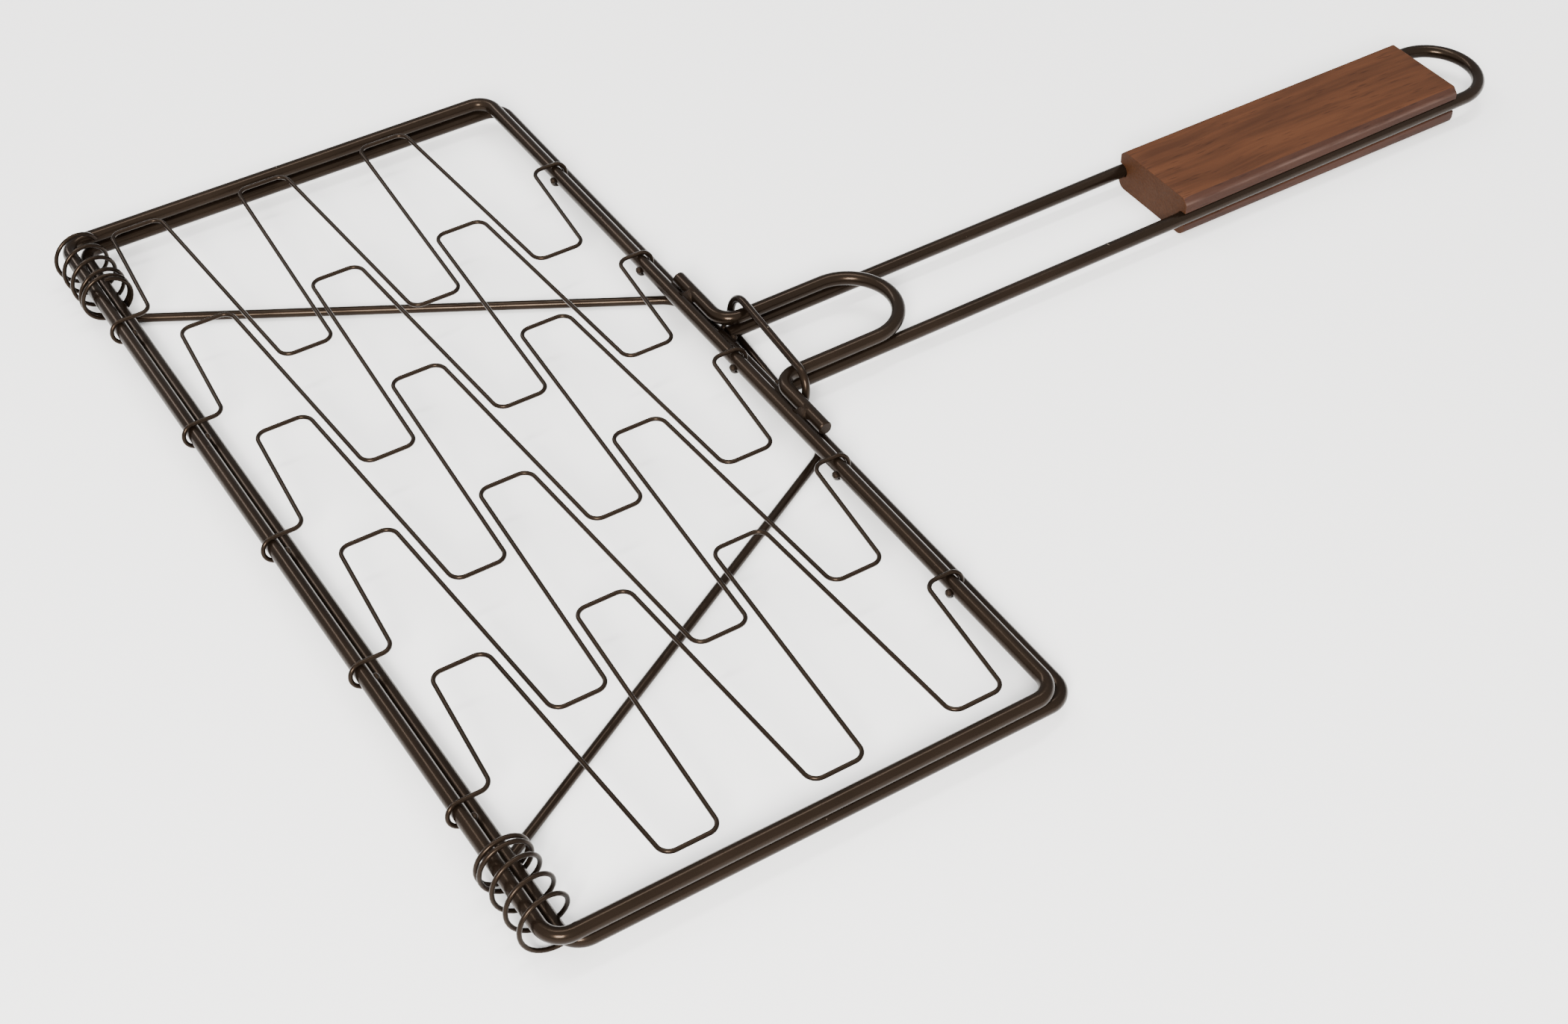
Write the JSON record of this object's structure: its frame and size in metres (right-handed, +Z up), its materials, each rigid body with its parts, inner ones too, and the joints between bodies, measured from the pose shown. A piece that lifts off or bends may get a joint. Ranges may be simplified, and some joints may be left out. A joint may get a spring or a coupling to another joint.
{
  "type": "grill basket",
  "caption": "Flat hinged wire grill basket with a lid of wavy wires, coil spring hinges, a sliding latch ring and a long rod handle with a wooden grip",
  "frame": {"origin": "centre of the bounding box in X and Y, on the surface the basket lies on", "axes": "+Y from the spring hinge towards the hanging loop, +Z up out of the lid, +X along the hinge side, to the right when seen with the hinge side nearest"},
  "size_m": [0.361, 0.5072, 0.0183],
  "materials": {
    "coated_steel": "satin",
    "wood": "satin"
  },
  "bodies": {
    "base": {"lower_frame": "coated_steel", "handle_rod": "coated_steel", "brace_rod_left": "coated_steel", "brace_rod_right": "coated_steel", "handle_welds": "coated_steel", "brace_front_welds": "coated_steel", "brace_rear_welds": "coated_steel", "grip": "wood"},
    "springs": {"hinge_spring_left": "coated_steel", "hinge_spring_right": "coated_steel"},
    "lid": {"upper_frame": "coated_steel", "lid_handle": "coated_steel", "grid_wire_1": "coated_steel", "grid_wire_2": "coated_steel", "grid_wire_3": "coated_steel", "grid_wire_4": "coated_steel", "grid_wire_5": "coated_steel", "lid_handle_welds": "coated_steel", "grid_front_welds": "coated_steel", "grid_rear_welds": "coated_steel"},
    "ring": {"latch_ring": "coated_steel"}
  },
  "joints": [
    {"name": "spring_lift", "type": "slide", "parent": "base", "child": "springs", "axis": [0, 0, 1], "range_m": [0, 0.0006]},
    {"name": "lid_hinge", "type": "hinge", "parent": "springs", "child": "lid", "pos_m": [0, -0.2473, 0.011], "axis": [1, 0, 0], "range_deg": [0, 180]},
    {"name": "latch_slide", "type": "slide", "parent": "base", "child": "ring", "axis": [0, 1, 0.01], "range_m": [0, 0.16]}
  ]
}
